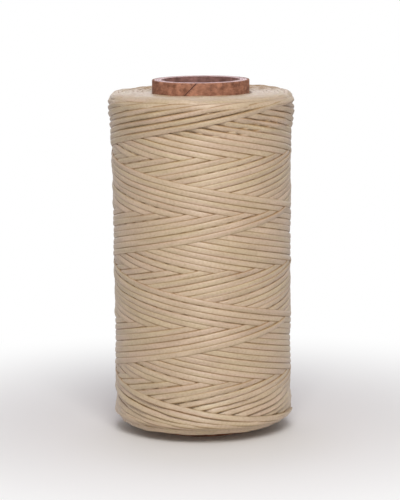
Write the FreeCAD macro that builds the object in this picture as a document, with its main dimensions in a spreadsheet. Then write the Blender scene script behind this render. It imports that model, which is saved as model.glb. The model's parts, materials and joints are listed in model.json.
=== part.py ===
"""A spool of waxed leather thread: a spiral-wound cardboard tube with thread cross-wound on it.

Millimetres. +Z runs along the tube, and the origin is the middle of the tube's lower end.
"""
import FreeCAD, Part
import os

import Sketcher

document = FreeCAD.newDocument("waxed_thread_spool")


# ---- driving dimensions ------------------------------------------------------------------

SIZES = [
    # the cardboard tube
    ("bore_radius", 10.0),
    ("tube_length", 96.0),
    ("ply_thickness", 0.66),
    ("seam_gap", 0.42),          # opening between the edges of the outer strip, along the axis
    ("seam_lead", 84.0),         # height that a strip climbs in one turn round the tube
    ("seam_height", 34.1),       # where the outer ply's seam passes the +X side
    # the thread package
    ("package_bottom", 2.2),
    ("package_top", 93.0),
    ("turns_height", 7.4),       # band at each end where the thread turns back
    # the cross-wound strokes
    ("crest_radius", 23.85),
    ("valley_depth", 0.5),
    ("stroke_pitch", 30.0),
    ("crossing_height", 32.38),  # where the last two strokes cross near the +X side
    ("crossing_turn", -14.0),    # and the angle from the +X side to there, in degrees
    ("ramp_width", 5.0),
    # the thread, a flat braid pressed by its own tension
    ("thread_width", 1.6),
    ("thread_thickness", 0.5),
    ("thread_edge", 0.25),       # how far the rounded edges lean in
    ("notch_play", 0.04),        # room beside the thread in the notch where it crosses
    # the two rims
    ("top_rim_radius", 25.6),
    ("top_rim_bevel", 1.1),
    ("bottom_rim_radius", 24.3),
    ("bottom_rim_bevel", 3.0),
    ("bevel_middle", 0.3),       # the bevels' middle corner, as a share of the bevel
]

sizes = document.addObject("Spreadsheet::Sheet", "Size")
for row, (alias, value) in enumerate(SIZES, start=1):
    sizes.set("A%d" % row, alias)
    sizes.set("B%d" % row, str(value))
    sizes.setAlias("B%d" % row, alias)
document.recompute()


# ---- ways of making a piece --------------------------------------------------------------

def origin_feature(body, role):
    """One of the body's own planes or axes, such as XZ_Plane or Z_Axis."""
    return next(item for item in body.Origin.OriginFeatures if item.Role == role)


def half_section(body, name, corners):
    """A closed outline in the XZ plane. Each corner is a pair of expressions: radius, height."""
    sketch = body.newObject("Sketcher::SketchObject", name)
    sketch.AttachmentSupport = [(origin_feature(body, "XZ_Plane"), "")]
    sketch.MapMode = "FlatFace"
    points = [
        FreeCAD.Vector(float(sizes.evalExpression(radius)), float(sizes.evalExpression(height)), 0)
        for radius, height in corners
    ]
    count = len(points)
    for index in range(count):
        sketch.addGeometry(Part.LineSegment(points[index], points[(index + 1) % count]), False)
    for index in range(count):
        sketch.addConstraint(Sketcher.Constraint("Coincident", index, 2, (index + 1) % count, 1))
    for index, (radius, height) in enumerate(corners):
        across = Sketcher.Constraint("DistanceX", -1, 1, index, 1, points[index].x)
        up = Sketcher.Constraint("DistanceY", -1, 1, index, 1, points[index].y)
        sketch.setExpression("Constraints[%d]" % sketch.addConstraint(across), radius)
        sketch.setExpression("Constraints[%d]" % sketch.addConstraint(up), height)
    return sketch


def turn(body, name, corners, kind="Revolution"):
    """Turns an outline about Z, as a solid or, with kind Groove, as a cut."""
    feature = body.newObject("PartDesign::" + kind, name)
    feature.Profile = (half_section(body, name + "_section", corners), [""])
    feature.ReferenceAxis = (origin_feature(body, "Z_Axis"), [""])
    feature.Angle = 360
    body.Tip = feature
    return feature


def wind(body, name, corners, pitch, height, left_handed, kind="AdditiveHelix"):
    """Sweeps an outline up a helix about Z. Pitch and height are expressions."""
    feature = body.newObject("PartDesign::" + kind, name)
    feature.Profile = (half_section(body, name + "_section", corners), [""])
    feature.ReferenceAxis = (origin_feature(body, "Z_Axis"), [""])
    feature.Mode = 0
    feature.Angle = 0
    feature.LeftHanded = left_handed
    feature.Reversed = False
    feature.HasBeenEdited = True
    feature.setExpression("Pitch", pitch)
    feature.setExpression("Height", height)
    body.Tip = feature
    return feature


def trim_ends(body, name):
    """Cuts off what reaches past the two bands where the thread turns back."""
    far = "2 * Size.crest_radius"
    past = "2 * Size.tube_length"
    lower = "Size.package_bottom + Size.turns_height"
    upper = "Size.package_top - Size.turns_height"
    inner = "Size.bore_radius + 5 * Size.ply_thickness - 1"
    below = [(inner, "0 - " + past), (far, "0 - " + past), (far, lower), (inner, lower)]
    above = [(inner, upper), (far, upper), (far, past), (inner, past)]
    turn(body, name + "_below", below, "Groove")
    turn(body, name + "_above", above, "Groove")


nodes = []


# ---- the cardboard tube ------------------------------------------------------------------
# Five strips of kraft paper, each wound on the one before at 45 degrees and glued. The inner
# strips close up tight. The edges of the outer strip meet in an open helical seam.

PLY_NAMES = [
    "core_liner_ply",
    "core_body_ply_1",
    "core_body_ply_2",
    "core_body_ply_3",
    "core_outer_ply",
]


def ply(order):
    name = PLY_NAMES[order]
    inner = "Size.bore_radius + %d * Size.ply_thickness" % order
    outer = "Size.bore_radius + %d * Size.ply_thickness" % (order + 1)
    wall = [(inner, "0"), (outer, "0"), (outer, "Size.tube_length"), (inner, "Size.tube_length")]
    body = document.addObject("PartDesign::Body", name)
    turn(body, name + "_wall", wall)
    return body


def open_seam(body):
    """Cuts the helical gap that the outer strip leaves between its edges."""
    inside = "Size.bore_radius + 4 * Size.ply_thickness - Size.seam_gap"
    outside = "Size.bore_radius + 5 * Size.ply_thickness + Size.seam_gap"
    low = "Size.seam_height - Size.seam_lead"
    high = low + " + Size.seam_gap"
    slit = [(inside, low), (outside, low), (outside, high), (inside, high)]
    wind(body, "outer_seam", slit, "Size.seam_lead", "3 * Size.seam_lead", False, "SubtractiveHelix")


plies = [ply(order) for order in range(len(PLY_NAMES))]
open_seam(plies[-1])
nodes.extend(plies)


# ---- the cross-wound thread --------------------------------------------------------------
# The thread goes up the tube in a right-hand helix and back down in a left-hand one, a thread
# width further on each time. Where it lies is newest it stands highest, and from there the
# older strokes fall away in a ramp until the winding's next turn.

TUBE_RADIUS = "Size.bore_radius + 5 * Size.ply_thickness"
STROKE_HEIGHT = "Size.tube_length + Size.stroke_pitch"


def turn_to_crossing(body):
    """Turns a body about Z so that its strokes cross where the spool's do."""
    body.Placement.Rotation = FreeCAD.Rotation(FreeCAD.Vector(0, 0, 1), 0)
    body.setExpression("Placement.Rotation.Axis.z", "1")
    body.setExpression("Placement.Rotation.Angle", "Size.crossing_turn")


def stroke_ramp(body, name, rising):
    """The ridge that the newest strokes of one direction make, falling away over the older ones."""
    start = "Size.crossing_height - Size.stroke_pitch"
    away = "+" if rising else "-"
    sunk = "Size.crest_radius - 2 * Size.valley_depth"
    flat = "%s %s Size.thread_width" % (start, away)
    foot = "%s %s 2 * Size.ramp_width" % (flat, away)
    corners = [(sunk, start), ("Size.crest_radius", start), ("Size.crest_radius", flat), (sunk, foot)]
    return wind(body, name, corners, "Size.stroke_pitch", STROKE_HEIGHT, not rising)


winding = document.addObject("PartDesign::Body", "thread_winding")
floor_of_winding = "Size.crest_radius - Size.valley_depth"
turn(winding, "winding_bulk", [
    (TUBE_RADIUS, "0"),
    (floor_of_winding, "0"),
    (floor_of_winding, "Size.tube_length"),
    (TUBE_RADIUS, "Size.tube_length"),
])
stroke_ramp(winding, "rising_strokes", True)
stroke_ramp(winding, "falling_strokes", False)
trim_ends(winding, "winding_ends")
turn_to_crossing(winding)
nodes.append(winding)


# ---- the last two strokes ----------------------------------------------------------------
# The last stroke up and the last stroke down lie on the crests of the winding. Where they
# cross, tension presses both to half their thickness, so each has a shallow notch there.

def stroke(name, rising):
    body = document.addObject("PartDesign::Body", name)
    start = "Size.crossing_height - Size.stroke_pitch"
    away = "+" if rising else "-"
    top = "Size.crest_radius + Size.thread_thickness"
    braid = [
        ("Size.crest_radius", start),
        (top, "%s %s Size.thread_edge" % (start, away)),
        (top, "%s %s (Size.thread_width - Size.thread_edge)" % (start, away)),
        ("Size.crest_radius", "%s %s Size.thread_width" % (start, away)),
    ]
    wind(body, name + "_braid", braid, "Size.stroke_pitch", STROKE_HEIGHT, not rising)
    middle = "Size.crest_radius + Size.thread_thickness / 2"
    clear = middle + (" + " if rising else " - ") + "2 * Size.thread_thickness"
    other = "-" if rising else "+"
    near = "%s %s (0 - Size.notch_play)" % (start, other)
    far = "%s %s (Size.thread_width + Size.notch_play)" % (start, other)
    notch = [(middle, near), (clear, near), (clear, far), (middle, far)]
    wind(body, name + "_notches", notch, "Size.stroke_pitch", STROKE_HEIGHT, rising, "SubtractiveHelix")
    trim_ends(body, name + "_ends")
    turn_to_crossing(body)
    return body


nodes.append(stroke("thread_last_stroke_up", True))
nodes.append(stroke("thread_last_stroke_down", False))


# ---- the ends of the package -------------------------------------------------------------
# At each end the thread slows, turns and starts back. The turns crowd into a firm rim that
# stands out over the straight part.

def turns(name, face, joint, rim_radius, bevel, inwards):
    """A band of turns: from the face at one end of the package in to the joint with the winding."""
    straight = "Size.crest_radius + Size.thread_thickness / 2"
    flank = "%s %s Size.bevel_middle * %s" % (face, inwards, bevel)
    body = document.addObject("PartDesign::Body", name)
    turn(body, name + "_band", [
        (TUBE_RADIUS, face),
        ("%s - %s" % (rim_radius, bevel), face),
        ("%s - Size.bevel_middle * %s" % (rim_radius, bevel), flank),
        (rim_radius, "%s %s %s" % (face, inwards, bevel)),
        (straight, joint),
        (TUBE_RADIUS, joint),
    ])
    return body


lower_end = "Size.package_bottom + Size.turns_height"
upper_end = "Size.package_top - Size.turns_height"
nodes.append(turns(
    "thread_top_turns",
    "Size.package_top",
    upper_end,
    "Size.top_rim_radius",
    "Size.top_rim_bevel",
    "-",
))
nodes.append(turns(
    "thread_bottom_turns",
    "Size.package_bottom",
    lower_end,
    "Size.bottom_rim_radius",
    "Size.bottom_rim_bevel",
    "+",
))


# ---- check and write ---------------------------------------------------------------------

document.recompute()
for item in document.Objects:
    assert "Invalid" not in item.State and "Error" not in item.State, item.Label
for node in nodes:
    assert not node.Shape.isNull() and node.Shape.isValid(), node.Label
    assert node.Shape.Solids, node.Label

os.makedirs("parts", exist_ok=True)
for node in nodes:
    node.Shape.exportStep("parts/%s.step" % node.Label)
    print("%s: %d solid(s), %.1f mm3" % (node.Label, len(node.Shape.Solids), node.Shape.Volume))
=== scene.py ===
import json
import math

import bpy
import numpy as np
from mathutils import Matrix, Vector


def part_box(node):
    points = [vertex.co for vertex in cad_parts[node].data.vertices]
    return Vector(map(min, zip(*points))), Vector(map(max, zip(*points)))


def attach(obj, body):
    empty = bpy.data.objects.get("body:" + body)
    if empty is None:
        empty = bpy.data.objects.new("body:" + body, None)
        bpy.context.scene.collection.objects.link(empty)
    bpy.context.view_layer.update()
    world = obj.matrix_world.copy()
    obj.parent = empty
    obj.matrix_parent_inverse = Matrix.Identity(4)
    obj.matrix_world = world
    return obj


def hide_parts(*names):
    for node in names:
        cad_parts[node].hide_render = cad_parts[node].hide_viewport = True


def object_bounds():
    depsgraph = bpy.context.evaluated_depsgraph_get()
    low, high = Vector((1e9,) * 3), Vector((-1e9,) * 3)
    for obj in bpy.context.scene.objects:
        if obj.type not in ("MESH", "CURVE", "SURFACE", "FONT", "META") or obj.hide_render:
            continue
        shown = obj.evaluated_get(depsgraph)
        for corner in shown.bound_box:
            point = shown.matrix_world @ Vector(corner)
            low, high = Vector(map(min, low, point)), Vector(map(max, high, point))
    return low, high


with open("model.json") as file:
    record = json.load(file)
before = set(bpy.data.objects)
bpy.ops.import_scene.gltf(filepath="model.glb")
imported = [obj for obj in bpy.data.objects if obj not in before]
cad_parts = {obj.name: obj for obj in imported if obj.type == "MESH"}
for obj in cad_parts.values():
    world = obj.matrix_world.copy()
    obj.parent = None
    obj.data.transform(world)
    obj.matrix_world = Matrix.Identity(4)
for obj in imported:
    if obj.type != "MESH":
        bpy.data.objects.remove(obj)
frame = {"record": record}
cad_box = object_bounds()

scene = bpy.context.scene
scene.view_settings.view_transform = "Standard"


# ---- studio ------------------------------------------------------------------------------
# A sheet of white paper under the spool and a white surround. The main lamp stands in front
# and above; weak ones overhead, low in front and behind fill the end face, the lower rim and
# the back. The paper's shading shows round the spool and fades out to plain white.

paper_colour = (0.92, 0.92, 0.92, 1.0)
paper_half_size = 6.0
fade_from = 0.03             # distances from the spool's axis between which the paper turns white
fade_to = 0.14
surround_colour = (1.0, 0.965, 0.975, 1.0)
surround_strength = 0.34

paper_mesh = bpy.data.meshes.new("paper_sheet")
paper_mesh.from_pydata(
    [(x * paper_half_size, y * paper_half_size, 0.0) for x, y in ((-1, -1), (1, -1), (1, 1), (-1, 1))],
    [],
    [(0, 1, 2, 3)],
)
paper = bpy.data.objects.new("paper_sheet", paper_mesh)
scene.collection.objects.link(paper)

paper_look = bpy.data.materials.new("white_paper")
paper_look.use_nodes = True
paper_nodes = paper_look.node_tree.nodes
paper_links = paper_look.node_tree.links
paper_shader = paper_nodes["Principled BSDF"]
paper_shader.inputs["Base Color"].default_value = paper_colour
paper_shader.inputs["Roughness"].default_value = 0.9
paper_shader.inputs["Specular IOR Level"].default_value = 0.1
paper_place = paper_nodes.new("ShaderNodeTexCoord")
paper_distance = paper_nodes.new("ShaderNodeVectorMath")
paper_distance.operation = "LENGTH"
paper_links.new(paper_place.outputs["Object"], paper_distance.inputs[0])
paper_fade = paper_nodes.new("ShaderNodeMapRange")
paper_fade.interpolation_type = "SMOOTHSTEP"
paper_fade.inputs["From Min"].default_value = fade_from
paper_fade.inputs["From Max"].default_value = fade_to
paper_links.new(paper_distance.outputs["Value"], paper_fade.inputs["Value"])
seen = paper_nodes.new("ShaderNodeLightPath")
seen_far = paper_nodes.new("ShaderNodeMath")
seen_far.operation = "MULTIPLY"
paper_links.new(seen.outputs["Is Camera Ray"], seen_far.inputs[0])
paper_links.new(paper_fade.outputs["Result"], seen_far.inputs[1])
blank = paper_nodes.new("ShaderNodeEmission")
paper_mix = paper_nodes.new("ShaderNodeMixShader")
paper_links.new(seen_far.outputs[0], paper_mix.inputs["Fac"])
paper_links.new(paper_shader.outputs["BSDF"], paper_mix.inputs[1])
paper_links.new(blank.outputs["Emission"], paper_mix.inputs[2])
paper_links.new(paper_mix.outputs["Shader"], paper_nodes["Material Output"].inputs["Surface"])
paper_mesh.materials.append(paper_look)

world = bpy.data.worlds.new("studio")
world.use_nodes = True
scene.world = world
world_nodes = world.node_tree.nodes
world_links = world.node_tree.links
surround = world_nodes["Background"]
surround.inputs["Color"].default_value = surround_colour
surround.inputs["Strength"].default_value = surround_strength
white = world_nodes.new("ShaderNodeBackground")
white.inputs["Color"].default_value = (1.0, 1.0, 1.0, 1.0)
white.inputs["Strength"].default_value = 1.0
looked_at = world_nodes.new("ShaderNodeLightPath")
mirrored = world_nodes.new("ShaderNodeMath")
mirrored.operation = "MAXIMUM"
world_links.new(looked_at.outputs["Is Camera Ray"], mirrored.inputs[0])
world_links.new(looked_at.outputs["Is Glossy Ray"], mirrored.inputs[1])
seen_white = world_nodes.new("ShaderNodeMixShader")
world_links.new(mirrored.outputs[0], seen_white.inputs["Fac"])
world_links.new(surround.outputs["Background"], seen_white.inputs[1])
world_links.new(white.outputs["Background"], seen_white.inputs[2])
world_links.new(seen_white.outputs["Shader"], world_nodes["World Output"].inputs["Surface"])

spool_low, spool_high = cad_box
spool_middle = (spool_low + spool_high) / 2


def softbox(name, place, size, power, colour):
    """A square lamp at a place, turned to face the middle of the spool."""
    lamp = bpy.data.lights.new(name, "AREA")
    lamp.shape = "SQUARE"
    lamp.size = size
    lamp.energy = power
    lamp.color = colour
    holder = bpy.data.objects.new(name, lamp)
    holder.location = place
    holder.rotation_euler = (spool_middle - Vector(place)).to_track_quat("-Z", "Y").to_euler()
    scene.collection.objects.link(holder)


softbox("front_softbox", place=(0.035, -0.39, 0.37), size=0.22, power=1.45, colour=(1.0, 0.985, 0.96))
softbox("overhead_softbox", place=(-0.01, 0.10, 0.55), size=0.12, power=0.28, colour=(0.93, 0.86, 1.0))
softbox("low_softbox", place=(-0.02, -0.44, 0.03), size=0.20, power=0.20, colour=(1.0, 0.97, 0.95))
softbox("back_softbox", place=(-0.08, 0.55, 0.16), size=0.40, power=0.18, colour=(0.95, 0.92, 1.0))

camera_distance = 0.63
camera_pitch = math.radians(8.9)
camera_roll = math.radians(-0.51)
aim = Vector((0.0, 0.0, 0.04887))
camera = bpy.data.cameras.new("camera")
camera.sensor_width = 36.0
camera.lens = 165.8
camera.shift_x = -0.0044
camera.shift_y = 0.0026
camera_holder = bpy.data.objects.new("camera", camera)
stand_back = Vector((0.0, -math.cos(camera_pitch), math.sin(camera_pitch))) * camera_distance
looking = (-stand_back).to_track_quat("-Z", "Y").to_matrix().to_4x4()
rolled = Matrix.Rotation(camera_roll, 4, "Z")
camera_holder.matrix_world = Matrix.Translation(aim + stand_back) @ looking @ rolled
scene.collection.objects.link(camera_holder)
scene.camera = camera_holder


# ---- cardboard tube ----------------------------------------------------------------------
# Five strips wound at 45 degrees and glued: a brown liner, three of grey-pink board and a brown
# outer strip, whose edges meet in an open spiral seam. The tube is sawn to length, so its rims
# show the edges of the strips.

mm = 0.001
tube_low, tube_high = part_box("core_outer_ply")
tube_length = tube_high.z
tube_radius = tube_high.x
bore_radius = frame["record"]["mounts"][0]["dims"]["r_mm"] * mm
ply_play = 0.03 * mm         # room left between one strip and the next
seam_lead = 84 * mm          # climb of the seam in one turn
seam_height = 34.1 * mm      # where it passes the +X side
seam_gap = 0.34 * mm
seam_drop = 0.09 * mm        # how far the strip lies lower on one side of the seam
saw_wander = 0.05 * mm       # unevenness of the sawn ends
strip_angle = math.radians(45)
fibre_grain = (420, 420, 1500)
cloud_grain = 560.0
speck_grain = 1050.0


def smooth_noise(count, waves, seed):
    """A closed loop of values from about -1 to 1 made of a few random waves."""
    rng = np.random.default_rng(seed)
    turn = np.linspace(0, 2 * math.pi, count, endpoint=False)
    value = np.zeros(count)
    for wave in range(1, waves + 1):
        value += rng.normal() * np.cos(wave * turn + rng.uniform(0, 2 * math.pi)) / math.sqrt(wave)
    return value / (np.abs(value).max() + 1e-9)


def grid_faces(rows, columns, close_rows, close_columns):
    """Quads over a grid of vertices numbered row by row."""
    r = np.arange(rows if close_rows else rows - 1)
    c = np.arange(columns if close_columns else columns - 1)
    r, c = (a.ravel() for a in np.meshgrid(r, c, indexing="ij"))
    here = r * columns
    below = (r + 1) % rows * columns
    right = (c + 1) % columns
    return np.stack([here + c, below + c, below + right, here + right], axis=1)


def add_piece(name, vertices, faces, look):
    """Makes a smooth-shaded piece from arrays of vertices and quads."""
    mesh = bpy.data.meshes.new(name)
    mesh.from_pydata(vertices.tolist(), [], faces.tolist())
    mesh.polygons.foreach_set("use_smooth", np.ones(len(mesh.polygons), dtype=bool))
    mesh.materials.append(look)
    piece = bpy.data.objects.new(name, mesh)
    scene.collection.objects.link(piece)
    return piece


def fibrous(name, dark, light, fleck, fleck_amount, along_strip):
    """A dull, mottled look with long fibres lying along the strip and short darker flecks."""
    look = bpy.data.materials.new(name)
    look.use_nodes = True
    nodes = look.node_tree.nodes
    links = look.node_tree.links
    shader = nodes["Principled BSDF"]
    shader.inputs["Roughness"].default_value = 0.72
    shader.inputs["Specular IOR Level"].default_value = 0.35
    place = nodes.new("ShaderNodeTexCoord")
    lie = nodes.new("ShaderNodeMapping")
    lie.inputs["Rotation"].default_value = (0.0, along_strip, 0.0)
    lie.inputs["Scale"].default_value = fibre_grain
    links.new(place.outputs["Object"], lie.inputs["Vector"])
    fibres = nodes.new("ShaderNodeTexNoise")
    fibres.inputs["Scale"].default_value = 1.0
    fibres.inputs["Detail"].default_value = 5.0
    fibres.inputs["Roughness"].default_value = 0.65
    links.new(lie.outputs["Vector"], fibres.inputs["Vector"])
    clouds = nodes.new("ShaderNodeTexNoise")
    clouds.inputs["Scale"].default_value = cloud_grain
    clouds.inputs["Detail"].default_value = 3.0
    links.new(place.outputs["Object"], clouds.inputs["Vector"])
    both = nodes.new("ShaderNodeMath")
    both.operation = "MULTIPLY_ADD"
    both.inputs[1].default_value = 0.55
    links.new(clouds.outputs["Fac"], both.inputs[0])
    part = nodes.new("ShaderNodeMath")
    part.operation = "MULTIPLY"
    part.inputs[1].default_value = 0.45
    links.new(fibres.outputs["Fac"], part.inputs[0])
    links.new(part.outputs[0], both.inputs[2])
    tone = nodes.new("ShaderNodeValToRGB")
    tone.color_ramp.elements[0].position = 0.36
    tone.color_ramp.elements[0].color = (*dark, 1.0)
    tone.color_ramp.elements[1].position = 0.66
    tone.color_ramp.elements[1].color = (*light, 1.0)
    links.new(both.outputs[0], tone.inputs["Fac"])
    specks = nodes.new("ShaderNodeTexNoise")
    specks.inputs["Scale"].default_value = speck_grain
    specks.inputs["Detail"].default_value = 2.0
    links.new(place.outputs["Object"], specks.inputs["Vector"])
    chosen = nodes.new("ShaderNodeMapRange")
    chosen.inputs["From Min"].default_value = 0.55
    chosen.inputs["From Max"].default_value = 0.72
    chosen.inputs["To Max"].default_value = fleck_amount
    links.new(specks.outputs["Fac"], chosen.inputs["Value"])
    flecked = nodes.new("ShaderNodeMix")
    flecked.data_type = "RGBA"
    flecked.inputs[7].default_value = (*fleck, 1.0)
    links.new(chosen.outputs["Result"], flecked.inputs["Factor"])
    links.new(tone.outputs["Color"], flecked.inputs[6])
    links.new(flecked.outputs[2], shader.inputs["Base Color"])
    nap = nodes.new("ShaderNodeBump")
    nap.inputs["Strength"].default_value = 0.5
    nap.inputs["Distance"].default_value = 0.06 * mm
    links.new(fibres.outputs["Fac"], nap.inputs["Height"])
    links.new(nap.outputs["Normal"], shader.inputs["Normal"])
    return look


outer_kraft = fibrous(
    "outer_kraft",
    dark=(0.19, 0.075, 0.042),
    light=(0.56, 0.265, 0.165),
    fleck=(0.12, 0.05, 0.04),
    fleck_amount=0.5,
    along_strip=strip_angle,
)
cut_board = fibrous(
    "cut_board",
    dark=(0.60, 0.42, 0.43),
    light=(0.92, 0.68, 0.70),
    fleck=(0.36, 0.22, 0.22),
    fleck_amount=0.6,
    along_strip=0.0,
)
cut_board.node_tree.nodes["Principled BSDF"].inputs["Roughness"].default_value = 0.5
liner_kraft = fibrous(
    "liner_kraft",
    dark=(0.12, 0.055, 0.045),
    light=(0.30, 0.145, 0.125),
    fleck=(0.07, 0.036, 0.03),
    fleck_amount=0.5,
    along_strip=strip_angle,
)


def paper_ply(name, inner, outer, look, seed):
    """A closed ring of board with softly rounded, slightly uneven sawn ends."""
    around = 176
    crush = 0.10 * mm
    wall = outer - inner
    rounded = [(0.0, 0.5), (0.12, 0.15), (0.35, 0.0), (0.65, 0.0), (0.88, 0.15), (1.0, 0.5)]
    angle = np.linspace(0, 2 * math.pi, around, endpoint=False)
    saw_top = smooth_noise(around, 30, seed) * saw_wander
    saw_low = smooth_noise(around, 30, seed + 1) * saw_wander
    rows = []
    for across, rise in rounded:
        rows.append((inner + across * wall, saw_wander + saw_low + rise * crush))
    for across, rise in reversed(rounded):
        rows.append((inner + across * wall, tube_length - saw_wander + saw_top - rise * crush))
    vertices = np.concatenate([
        np.stack([radius * np.cos(angle), radius * np.sin(angle), height + 0 * angle], axis=1)
        for radius, height in rows
    ])
    piece = add_piece(name, vertices, grid_faces(len(rows), around, True, True)[:, ::-1], look)
    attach(piece, "root")
    return piece


ply_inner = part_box("core_liner_ply")[1].x
liner = paper_ply("paper_liner_ply", bore_radius, ply_inner - ply_play, liner_kraft, 11)
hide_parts("core_liner_ply")

for order in (1, 2, 3):
    node = "core_body_ply_%d" % order
    ply_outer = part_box(node)[1].x
    name = "paper_body_ply_%d" % order
    board = paper_ply(name, ply_inner + ply_play, ply_outer - ply_play, cut_board, 11 + 2 * order)
    # only the board's sawn edges are pale
    board.data.materials.append(liner_kraft)
    for face in board.data.polygons:
        face.material_index = 1 if abs(face.normal.z) < 0.3 else 0
    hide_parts(node)
    ply_inner = ply_outer


def outer_strip():
    """The outer strip as it lies: its two long edges run beside each other up the seam."""
    around = 176
    up = 90
    inner = ply_inner + ply_play
    crush = 0.12 * mm
    height = np.linspace(0.0, 1.0, up)
    height = 0.5 - 0.5 * np.cos(math.pi * height)
    round_off = crush * (1 - np.clip(height * tube_length / crush, 0, 1)) ** 2
    round_off += crush * (1 - np.clip((1 - height) * tube_length / crush, 0, 1)) ** 2
    rise = saw_wander + height * (tube_length - 2 * saw_wander)
    seam = 2 * math.pi * (rise - seam_height) / seam_lead
    gap = 2 * math.pi * seam_gap / seam_lead
    share = np.linspace(0.0, 1.0, around)
    angle = seam[:, None] + gap / 2 + share[None, :] * (2 * math.pi - gap)
    from_edge = np.minimum(share, 1 - share) * 2 * math.pi * tube_radius
    sunk = seam_drop * (1 - np.exp(-(share * 2 * math.pi * tube_radius / (0.6 * mm)) ** 2))
    tuck = 0.22 * mm * np.clip(1 - from_edge / (0.25 * mm), 0, 1) ** 2
    outer = tube_radius - 0.02 * mm - (sunk + tuck)[None, :] - round_off[:, None]
    inner_radius = np.full_like(outer, inner)
    shape = []
    for radius in (outer, inner_radius):
        shape.append(np.stack([
            radius * np.cos(angle), radius * np.sin(angle), np.broadcast_to(rise[:, None], angle.shape)
        ], axis=2).reshape(-1, 3))
    skin = grid_faces(up, around, False, False)
    count = up * around
    faces = [skin[:, ::-1], skin + count]
    bottom = np.arange(around)
    top = (up - 1) * around + bottom
    left = np.arange(up) * around
    right = left + around - 1
    for edge, flip in ((bottom, False), (top, True), (left, True), (right, False)):
        rim = np.stack([edge[:-1], edge[1:], edge[1:] + count, edge[:-1] + count], axis=1)
        faces.append(rim[:, ::-1] if flip else rim)
    return add_piece("paper_outer_ply", np.concatenate(shape), np.concatenate(faces), outer_kraft)


outer_ply = outer_strip()
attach(outer_ply, "root")
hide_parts("core_outer_ply")


# ---- lay of the thread -------------------------------------------------------------------
# One waxed braid runs up and down the tube without a break. Each pass crosses the last at a
# fixed pitch and lands a thread's width beside the pass before it, and where it lies is set by
# what is already under it: it is pulled tight over the strands that it crosses.

package_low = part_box("thread_bottom_turns")[0].z / mm
package_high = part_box("thread_top_turns")[1].z / mm
pitch = 30.0                 # climb of the thread in one turn
strands_per_pitch = 18.7     # strands side by side that fill one pitch
braid_width = 1.64
braid_thickness = 0.60
pressed_thickness = 0.28     # what a crossing adds once the strands are pulled into each other
turning_point = 92.38        # height at which the lines of the last pass up and down would meet
turning_turns = -0.039       # and where round the tube, in turns from +X
dish = 0.15                  # how far the end faces fall towards the tube
top_shoulder = 1.2           # height of the rounded upper rim
top_round = 3.5              # and its extent across the end face
low_shoulder = 3.2           # radius of the rounded lower rim
low_radius = 24.0            # the outline's radius at the lower rim
high_radius = 25.05          # and at the upper one
flare_heights = (5.0, 35.0, 63.0, 77.0, 83.0, 87.0, 91.0)
flare_radii = (low_radius, 24.05, 24.2, 24.32, 24.62, 24.95, high_radius)
top_turn_width = 0.11        # turns over which a pass slows down and comes back
low_turn_width = 0.22
top_band = (88.0, 3.4)       # where the passes start to draw apart before the turn, and over what length
low_band = (7.0, 5.0)
top_spread = 0.22            # how far they draw apart there
low_spread = 0.25
spread_drift = 0.05          # and how much that differs from pass to pass
short_wander = (0.05, 60)    # how far a strand strays from its line, and over how many columns
long_wander = (0.055, 400)
coverings_wound = 3.2        # a covering is as many cycles as fill one pitch with strands
coverings_shown = 1.3
seed_of_lay = 43


def package_outline():
    """The package's side, shoulders and ends as one line from the lower end face to the upper.

    It gives radius and height against the distance along the line, which equals height on the side.
    """
    arc = np.linspace(0, math.pi / 2, 14)
    tube = tube_radius / mm
    low = [(tube, package_low + dish), (low_radius - low_shoulder, package_low)]
    for a in arc[1:]:
        radius = low_radius - low_shoulder + low_shoulder * math.sin(a)
        low.append((radius, package_low + low_shoulder * (1 - math.cos(a))))
    height = np.linspace(package_low + low_shoulder + 0.5, package_high - top_shoulder - 0.3, 60)
    side = np.interp(height, flare_heights, flare_radii)
    high = [
        (high_radius - top_round * (1 - math.cos(a)), package_high - top_shoulder * (1 - math.sin(a)))
        for a in arc
    ]
    high += [(tube, package_high - dish)]
    points = np.array(low + list(zip(side, height)) + high)
    steps = np.hypot(*np.diff(points, axis=0).T)
    along = np.concatenate([[0.0], np.cumsum(steps)])
    middle = len(points) // 2
    along += points[middle, 1] - along[middle]
    fine = np.arange(along[0], along[-1], 0.1)
    radius = np.interp(fine, along, points[:, 0])
    height = np.interp(fine, along, points[:, 1])
    return fine, radius, height


line, line_radius, line_height = package_outline()

# The way out from the package at each point of the outline, made to turn gently over the rims.
slope_radius = np.gradient(line_radius, line)
slope_height = np.gradient(line_height, line)
kernel = np.exp(-0.5 * (np.arange(-12, 13) / 4.0) ** 2)
kernel /= kernel.sum()
slope_radius = np.convolve(np.pad(slope_radius, 12, mode="edge"), kernel, mode="valid")
slope_height = np.convolve(np.pad(slope_height, 12, mode="edge"), kernel, mode="valid")
slope_length = np.hypot(slope_radius, slope_height)
out_radius = slope_height / slope_length
out_height = -slope_radius / slope_length

# The package unrolled: columns go round it and rows along the outline, and each cell holds the
# height that has been wound there so far.
columns = 720
cell = 0.15
level_start = line[0]
level_rows = int((line[-1] - line[0]) / cell) + 1
level = np.zeros((columns, level_rows))
half_cycle = 3.0 + 0.5 / strands_per_pitch
cycle = 2 * half_cycle
chance = np.random.default_rng(seed_of_lay)


def wander(count, smooth):
    """Slow random drift with a spread of about one."""
    width = int(smooth)
    value = chance.normal(size=count + 8 * width)
    window = np.exp(-0.5 * (np.arange(-4 * width, 4 * width + 1) / width) ** 2)
    window /= math.sqrt((window ** 2).sum())
    return np.convolve(value, window, mode="valid")[:count]


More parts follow.
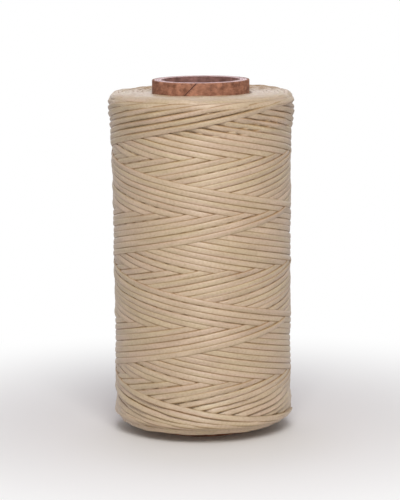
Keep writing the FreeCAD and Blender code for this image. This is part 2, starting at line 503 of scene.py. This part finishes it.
def thread_path(cycles):
    """The whole thread in the order in which it is wound, from an older valley to the last one.

    It gives each step round the tube and the distance along the outline there. Each cycle is a pass
    up and a pass down; the last one's peak lies at turning_turns.
    """
    begin = round((turning_turns - (cycles - 1) * cycle - half_cycle) * columns)
    end = round((turning_turns + half_cycle) * columns)
    step = np.arange(begin, end)
    age = (turning_turns - step / columns) / cycle
    number = np.clip(np.rint(age), 0, cycles - 1).astype(int)
    from_top = np.abs(age - number) * cycle
    from_low = half_cycle - from_top
    valley = np.clip(np.floor(age + 0.5).astype(int) + (age < number), 0, cycles)
    place = turning_point - pitch * from_top
    place -= pitch * np.clip(top_turn_width - from_top, 0, None) ** 2 / (2 * top_turn_width)
    place += pitch * np.clip(low_turn_width - from_low, 0, None) ** 2 / (2 * low_turn_width)
    into_top = np.clip((place - top_band[0]) / top_band[1], 0, None)
    place += (top_spread + spread_drift * drift_top[number]) * into_top ** 2
    into_low = np.clip((low_band[0] - place) / low_band[1], 0, None)
    place -= (low_spread + spread_drift * drift_low[valley]) * into_low ** 2
    for spread_out, smooth in (short_wander, long_wander):
        place += spread_out * wander(len(step), smooth)
    return step, place


def end_turn(turning, furthest, bend):
    """One old turning left on an end face: a shallow arc whose ends run out under later ones."""
    reach = 0.14
    step = np.arange(math.ceil((turning - reach) * columns), math.floor((turning + reach) * columns))
    share = (step / columns - turning) / reach
    return step, furthest - bend * share ** 2 + 0.05 * wander(len(step), 40)


def spread(values, reach, sharpness):
    """A taut thread's height over bumps: it rides the highest points and bridges the dips."""
    highest = values.copy()
    for shift in range(1, reach + 1):
        highest[shift:] = np.maximum(highest[shift:], values[:-shift])
        highest[:-shift] = np.maximum(highest[:-shift], values[shift:])
    window = np.exp(-0.5 * (np.arange(-4 * sharpness, 4 * sharpness + 1) / sharpness) ** 2)
    window /= window.sum()
    return np.convolve(np.pad(highest, 4 * sharpness, mode="edge"), window, mode="valid")


def seat(step, place):
    """Height and tilt at which a strand comes to rest on what is already wound."""
    column = step % columns
    centre = (place - level_start) / cell
    offsets = np.linspace(-0.46, 0.46, 13) * braid_width
    rows = np.clip(np.rint(centre[:, None] + offsets[None, :] / cell).astype(int), 0, level_rows - 1)
    under = level[column[:, None], rows]
    low_side = spread(under[:, :5].max(axis=1) * 0.5 + under[:, :5].mean(axis=1) * 0.5, 3, 4)
    high_side = spread(under[:, 8:].max(axis=1) * 0.5 + under[:, 8:].mean(axis=1) * 0.5, 3, 4)
    tilt = np.clip((high_side - low_side) / (0.62 * braid_width), -0.4, 0.4)
    rest = np.maximum((low_side + high_side) / 2, spread(under[:, 5:8].mean(axis=1), 2, 4))
    return rest, tilt


def raise_level(step, place, rest, tilt):
    """Adds a strand to what is already wound."""
    column = step % columns
    centre = (place - level_start) / cell
    half = braid_width / 2
    reach = int(half / cell) + 1
    base = np.rint(centre).astype(int)
    for shift in range(-reach, reach + 1):
        row = base + shift
        across = (row - centre) * cell
        inside = (np.abs(across) < half) & (row >= 0) & (row < level_rows)
        crown = np.sqrt(np.clip(1 - np.abs(across / half) ** 3, 0, 1))
        top = rest + tilt * across + pressed_thickness * crown
        level[column[inside], row[inside]] = np.maximum(level[column[inside], row[inside]], top[inside])


def lay(step, place):
    """Winds a strand on stretch by stretch. A stretch rests on all but the stretch just before it."""
    stretch = 180
    margin = 24
    rest = np.zeros(len(step))
    tilt = np.zeros(len(step))
    waiting = None
    for start in range(0, len(step), stretch):
        own = slice(start, min(start + stretch, len(step)))
        wide = slice(max(start - margin, 0), min(own.stop + margin, len(step)))
        wide_rest, wide_tilt = seat(step[wide], place[wide])
        inner = slice(own.start - wide.start, own.stop - wide.start)
        rest[own], tilt[own] = wide_rest[inner], wide_tilt[inner]
        if waiting:
            raise_level(step[waiting], place[waiting], rest[waiting], tilt[waiting])
        waiting = own
    raise_level(step[waiting], place[waiting], rest[waiting], tilt[waiting])
    return step, place, rest, tilt


# The end faces: turnings of the older coverings, the oldest nearest the tube.
face_step = 1.0              # how far one covering's turnings lie inside the next one's
face_bend = 1.8              # how far a turning's ends fall back from its middle
turn_play = 0.1              # room between them and the last covering's turnings
top_tube_play = 0.65         # and between the oldest and the tube, to the strand's middle
low_tube_play = 0.9
top_turn_edge = turning_point - pitch * top_turn_width / 2 + turn_play
low_turn_edge = turning_point - pitch * (half_cycle - low_turn_width / 2) - turn_play
top_turn_count = int((line[-1] - top_tube_play - top_turn_edge) / face_step * strands_per_pitch)
low_turn_count = int((low_turn_edge - line[0] - low_tube_play) / face_step * strands_per_pitch)
top_turns = []
for age in range(top_turn_count, 0, -1):
    turning = turning_turns - age / strands_per_pitch
    furthest = top_turn_edge + face_step * age / strands_per_pitch
    top_turns.append(lay(*end_turn(turning, furthest, face_bend)))
low_turns = []
for age in range(low_turn_count, 0, -1):
    turning = turning_turns - (age + 0.5) / strands_per_pitch
    furthest = low_turn_edge - face_step * age / strands_per_pitch
    low_turns.append(lay(*end_turn(turning, furthest, -face_bend)))

# The winding itself, drawn from the same seed whatever the end faces took.
chance = np.random.default_rng(seed_of_lay)
cycles_wound = int(coverings_wound * strands_per_pitch)
cycles_shown = int(coverings_shown * strands_per_pitch)
drift_top = np.clip(chance.normal(size=cycles_wound + 1), -1.6, 1.6)
drift_low = np.clip(chance.normal(size=cycles_wound + 1), -1.6, 1.6)
course = lay(*thread_path(cycles_wound))


def soften(field, width, axis):
    """Averages a field over a width in cells, going round the tube along axis 0."""
    reach = int(3 * width)
    window = np.exp(-0.5 * (np.arange(-reach, reach + 1) / width) ** 2)
    window /= window.sum()
    ends = [(0, 0), (0, 0)]
    ends[axis] = (reach, reach)
    padded = np.pad(field, ends, mode="wrap" if axis == 0 else "edge")
    total = np.zeros_like(field)
    for offset, weight in enumerate(window):
        part = slice(offset, offset + field.shape[axis])
        total += weight * (padded[part] if axis == 0 else padded[:, part])
    return total


# The wound package's mean surface, which is drawn down onto the outline.
evening = 3.5                # width over which it is averaged, in mm
ring_evening = 0.45
column_width = 0.21          # round the package, in mm
ring_level = soften(level.mean(axis=0)[None, :], ring_evening / cell, 1)
local_level = soften(level - ring_level, evening / cell, 1)
even_level = ring_level + soften(local_level, evening / column_width, 0)


def even_height(step, place):
    """The mean surface's height at points of the thread."""
    row = np.clip((place - level_start) / cell, 0, level_rows - 1.001)
    below = row.astype(int)
    share = row - below
    column = step % columns
    return even_level[column, below] * (1 - share) + even_level[column, below + 1] * share


# ---- buried thread -----------------------------------------------------------------------
# The older coverings of the same thread, under the strands that show. Only their shade is seen, in the
# gaps between strands, so they are one plain skin whose colour is the thread's, darkened: painted shade.

buried_depth = 1.0


def to_space(turns, place, height):
    """A point a given height over the package's outline, in millimetres."""
    radius = np.interp(place, line, line_radius) + height * np.interp(place, line, out_radius)
    up = np.interp(place, line, line_height) + height * np.interp(place, line, out_height)
    angle = 2 * math.pi * turns
    return np.stack([radius * np.cos(angle), radius * np.sin(angle), up], axis=-1)


buried_line = np.arange(line[0], line[-1], 1.0)
buried_turns = np.linspace(0, 1, 120, endpoint=False)
buried_places = to_space(
    np.repeat(buried_turns[None, :], len(buried_line), axis=0),
    np.repeat(buried_line[:, None], len(buried_turns), axis=1),
    -buried_depth,
)
buried_faces = grid_faces(len(buried_line), len(buried_turns), False, True)[:, ::-1]
# painted shade: the thread's colour darkened to stand for the shade in the gaps between strands
buried_shade_look = fibrous(
    "buried_thread_in_painted_shade",
    dark=(0.27, 0.19, 0.115),
    light=(0.43, 0.32, 0.205),
    fleck=(0.16, 0.10, 0.06),
    fleck_amount=0.4,
    along_strip=0.0,
)
buried_thread_in_painted_shade = add_piece("buried_thread_in_painted_shade", buried_places.reshape(-1, 3) * mm, buried_faces, buried_shade_look)
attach(buried_thread_in_painted_shade, "root")


# ---- thread ------------------------------------------------------------------------------
# A flat braid of waxed polyester, beige, pressed flat where it lies. The wax gives it a soft
# shine, and it takes up a little more in some stretches than in others. The strands that show
# are in pieces by where they lie: the two end faces, the wound passes and the last two strands.

wax_warm = (0.585, 0.463, 0.304)
wax_pink = (0.614, 0.463, 0.336)
wax_shade = (0.84, 0.82, 0.80)
# painted shade in the plait's furrows, also used for random darker blotches of tone
furrow_shade_and_blotch_tint = (0.76, 0.71, 0.64)
# painted shade along each strand's two edges, for the gaps between strands
painted_edge_shade_tint = (0.63, 0.49, 0.30)
plait_pitch = 1.15


def waxed_braid():
    """Faint chevrons of a plait along the strand, under a coat of wax."""
    look = bpy.data.materials.new("waxed_braid")
    look.use_nodes = True
    nodes = look.node_tree.nodes
    links = look.node_tree.links
    shader = nodes["Principled BSDF"]
    shader.inputs["Roughness"].default_value = 0.55
    shader.inputs["Specular IOR Level"].default_value = 0.3
    shader.inputs["Coat Weight"].default_value = 0.8
    shader.inputs["Coat Roughness"].default_value = 0.38
    run = nodes.new("ShaderNodeUVMap")
    run.uv_map = "run"
    split = nodes.new("ShaderNodeSeparateXYZ")
    links.new(run.outputs["UV"], split.inputs["Vector"])

    def noise(scale_along, scale_across, detail, offset):
        stretch = nodes.new("ShaderNodeMapping")
        stretch.inputs["Location"].default_value = (offset, offset, 0.0)
        stretch.inputs["Scale"].default_value = (scale_along, scale_across, 1.0)
        links.new(run.outputs["UV"], stretch.inputs["Vector"])
        source = nodes.new("ShaderNodeTexNoise")
        source.noise_dimensions = "2D"
        source.inputs["Scale"].default_value = 1.0
        source.inputs["Detail"].default_value = detail
        links.new(stretch.outputs["Vector"], source.inputs["Vector"])
        return source.outputs["Fac"]

    def mixed(first, second, factor, blend="MIX"):
        mix = nodes.new("ShaderNodeMix")
        mix.data_type = "RGBA"
        mix.blend_type = blend
        for socket, value in ((mix.inputs[6], first), (mix.inputs[7], second)):
            if isinstance(value, tuple):
                socket.default_value = (*value, 1.0)
            else:
                links.new(value, socket)
        links.new(factor, mix.inputs["Factor"])
        return mix.outputs[2]

    def ranged(value, low, high, to_low, to_high):
        span = nodes.new("ShaderNodeMapRange")
        span.inputs["From Min"].default_value = low
        span.inputs["From Max"].default_value = high
        span.inputs["To Min"].default_value = to_low
        span.inputs["To Max"].default_value = to_high
        links.new(value, span.inputs["Value"])
        return span.outputs["Result"]

    def maths(operation, first, second=None, third=None):
        step = nodes.new("ShaderNodeMath")
        step.operation = operation
        for socket, value in zip(step.inputs, (first, second, third)):
            if isinstance(value, (int, float)):
                socket.default_value = value
            elif value is not None:
                links.new(value, socket)
        return step.outputs[0]

    # tone: wax taken up unevenly along the strand, then a slow change of shade
    wax_drift = ranged(noise(0.045, 0.5, 2.0, 3.1), 0.35, 0.65, 0.0, 1.0)
    colour = mixed(wax_warm, wax_pink, wax_drift)
    shade = ranged(noise(0.08, 0.4, 3.0, 17.7), 0.3, 0.7, 0.0, 1.0)
    shaded = mixed(colour, wax_shade, shade, "MULTIPLY")

    # braid: the carriers cross in chevrons, one every plait_pitch along the strand
    from_middle = maths("ABSOLUTE", split.outputs["Y"])
    chevron = maths("MULTIPLY_ADD", from_middle, 0.9, split.outputs["X"])
    beat = maths("COSINE", maths("MULTIPLY", chevron, 2 * math.pi / plait_pitch))
    plait = maths("MULTIPLY_ADD", beat, 0.5, 0.5)
    fibre = noise(1.2, 12.0, 3.0, 5.3)
    blotch = noise(1.1, 1.6, 2.0, 41.9)
    # painted shade in the plait's furrows, weighted by the fibre noise, plus random blotches of darker tone
    furrow_shade_and_blotch = maths("MULTIPLY", maths("SUBTRACT", 1.0, plait), ranged(fibre, 0.35, 0.7, 0.0, 0.35))
    furrow_shade_and_blotch = maths("ADD", furrow_shade_and_blotch, ranged(blotch, 0.45, 0.75, 0.0, 0.4))
    fibred = mixed(shaded, furrow_shade_and_blotch_tint, furrow_shade_and_blotch, "MULTIPLY")

    # painted shade: the strand's two edges are made darker and browner, standing in for the shade in the
    # gaps between strands
    edge_shade_mask = ranged(from_middle, 0.34 * braid_width, 0.5 * braid_width, 0.0, 1.0)
    edge_shaded = mixed(fibred, painted_edge_shade_tint, edge_shade_mask, "MULTIPLY")
    links.new(edge_shaded, shader.inputs["Base Color"])
    relief = maths("MULTIPLY_ADD", fibre, 0.8, plait)
    nap = nodes.new("ShaderNodeBump")
    nap.inputs["Strength"].default_value = 0.5
    nap.inputs["Distance"].default_value = 0.035 * mm
    links.new(relief, nap.inputs["Height"])
    links.new(nap.outputs["Normal"], shader.inputs["Normal"])
    return look


braid_look = waxed_braid()
stations_apart = 6           # columns from one station of a strand to the next
proud = 0.1                  # height over the mean surface above which a strand is pressed in
pressed_in = 0.7             # and how much of the rest it gives up
# the braid's section, in widths and thicknesses: over the top from edge to edge, then the underside
section = np.array([
    (-0.54, -0.22), (-0.47, 0.14), (-0.39, 0.37), (-0.16, 0.50), (0.16, 0.50),
    (0.39, 0.37), (0.47, 0.14), (0.54, -0.22), (0.30, -0.46), (-0.30, -0.46),
])
section_points = len(section)


def strand(course):
    """The vertices of one strand and how far each section lies along it."""
    step, place, rest, tilt = (np.append(values[:-1:stations_apart], values[-1]) for values in course)
    turns = step / columns
    height = rest + pressed_thickness - braid_thickness / 2 - even_height(step, place)
    height -= pressed_in * np.clip(height - proud, 0, None)
    centre = to_space(turns, place, height)
    outward = to_space(turns, place, height + 1.0) - centre
    forward = np.gradient(centre, axis=0)
    forward /= np.linalg.norm(forward, axis=1)[:, None]
    side = np.cross(outward, forward)
    side /= np.linalg.norm(side, axis=1)[:, None]
    outward = np.cross(forward, side)
    up_outline = to_space(turns, place + 0.1, height) - centre
    lean = np.arctan(tilt) * np.sign((up_outline * side).sum(axis=1))
    across = side * np.cos(lean)[:, None] + outward * np.sin(lean)[:, None]
    over = np.cross(forward, across)
    sections = (
        centre[:, None, :]
        + across[:, None, :] * (section[:, 0] * braid_width)[None, :, None]
        + over[:, None, :] * (section[:, 1] * braid_thickness)[None, :, None]
    )
    lengths = np.concatenate([[0.0], np.cumsum(np.linalg.norm(np.diff(centre, axis=0), axis=1))])
    return sections, lengths


def strands_piece(name, strands):
    """One piece from several strands. Its UV map, run, holds mm along the strand and mm from its middle."""
    vertices, faces, run_along, run_across = [], [], [], []
    start = 0
    for index, (sections, lengths) in enumerate(strands):
        count = len(sections)
        vertices.append(sections.reshape(-1, 3))
        quads = grid_faces(count, section_points, False, True)
        faces.append(quads + start)
        ends = [np.arange(section_points), (count - 1) * section_points + np.arange(section_points)]
        caps = []
        for ring, flip in ((ends[0], False), (ends[1], True)):
            half = section_points // 2
            for k in range(half - 1):
                quad = [ring[k], ring[k + 1], ring[section_points - 2 - k], ring[section_points - 1 - k]]
                caps.append(quad[::-1] if flip else quad)
        faces.append(np.array(caps) + start)
        run_along.append(np.repeat(lengths + 371.3 * index, section_points))
        run_across.append(np.tile(section[:, 0] * braid_width, count))
        start += count * section_points
    vertices = np.concatenate(vertices) * mm
    faces = np.concatenate(faces)
    piece = add_piece(name, vertices, faces, braid_look)
    uv = piece.data.uv_layers.new(name="run")
    corner = np.empty(len(piece.data.loops), dtype=np.int64)
    piece.data.loops.foreach_get("vertex_index", corner)
    run = np.stack([np.concatenate(run_along)[corner], np.concatenate(run_across)[corner]], axis=1)
    uv.data.foreach_set("uv", run.ravel())
    return piece


def stretch_of_thread(begin, end):
    """The strand between two points of the thread, in cycles before its last valley."""
    total = len(course[0])
    first, last = (total - 1 - round(point * cycle * columns) for point in (begin, end))
    return strand([values[max(first, 0):last + 1] for values in course])


top_face = strands_piece("top_face_strands", [strand(turn) for turn in top_turns])
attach(top_face, "root")
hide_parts("thread_top_turns")

bottom_face = strands_piece("bottom_face_strands", [strand(turn) for turn in low_turns])
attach(bottom_face, "root")
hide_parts("thread_bottom_turns")


def passes(name, oldest, newest):
    """One piece from whole cycles of the winding, each a pass up and a pass down."""
    cycles = [stretch_of_thread(number, number - 1) for number in range(oldest, newest, -1)]
    return strands_piece(name, cycles)


under_passes = passes("underlying_strands", cycles_shown, cycles_shown // 2)
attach(under_passes, "root")

cross_wound = passes("cross_wound_strands", cycles_shown // 2, 1)
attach(cross_wound, "root")
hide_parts("thread_winding")

last_up = strands_piece("last_strand_up", [stretch_of_thread(1, 0.5)])
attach(last_up, "root")
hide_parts("thread_last_stroke_up")

last_down = strands_piece("last_strand_down", [stretch_of_thread(0.5, 0)])
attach(last_down, "root")
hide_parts("thread_last_stroke_down")
